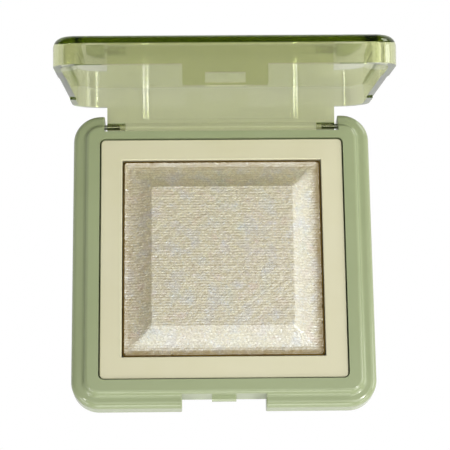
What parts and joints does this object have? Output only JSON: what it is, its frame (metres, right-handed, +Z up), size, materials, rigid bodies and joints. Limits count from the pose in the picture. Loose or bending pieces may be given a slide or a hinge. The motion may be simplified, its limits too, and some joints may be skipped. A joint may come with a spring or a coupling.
{
  "type": "powder compact",
  "caption": "Square pressed-powder compact: moulded base, snap-in frame with a pan of powder, and a clear hinged lid on two steel pins.",
  "frame": {"origin": "centre of the flat face that the base stands on", "axes": "+Z up, +Y towards the hinge, X along the hinge pins"},
  "size_m": [0.0706, 0.0796, 0.0707],
  "materials": {
    "base_plastic": "glossy moulded sage green ABS",
    "frame_plastic": "satin moulded cream ABS",
    "lid_plastic": "clear green-tinted moulded styrene",
    "powder": "pressed pearly powder with a fine woven face",
    "pan_metal": "thin drawn sheet, lacquered",
    "pin_steel": "cut drawn wire",
    "glue": "hot-melt adhesive",
    "label_paper": "blank coated paper"
  },
  "bodies": {
    "base": {"base_shell": "base_plastic", "base_label": "label_paper", "insert_tray": "frame_plastic", "pan": "pan_metal", "pressed_powder": "powder", "pan_glue": "glue", "hinge_pin_left": "pin_steel", "hinge_pin_right": "pin_steel"},
    "lid": {"lid": "lid_plastic"}
  },
  "joints": [
    {"name": "lid_hinge", "type": "hinge", "parent": "base", "child": "lid", "pos_m": [0, 0.0338, 0.0018], "axis": [-1, 0, 0], "range_deg": [-77.5, 12.5]}
  ]
}
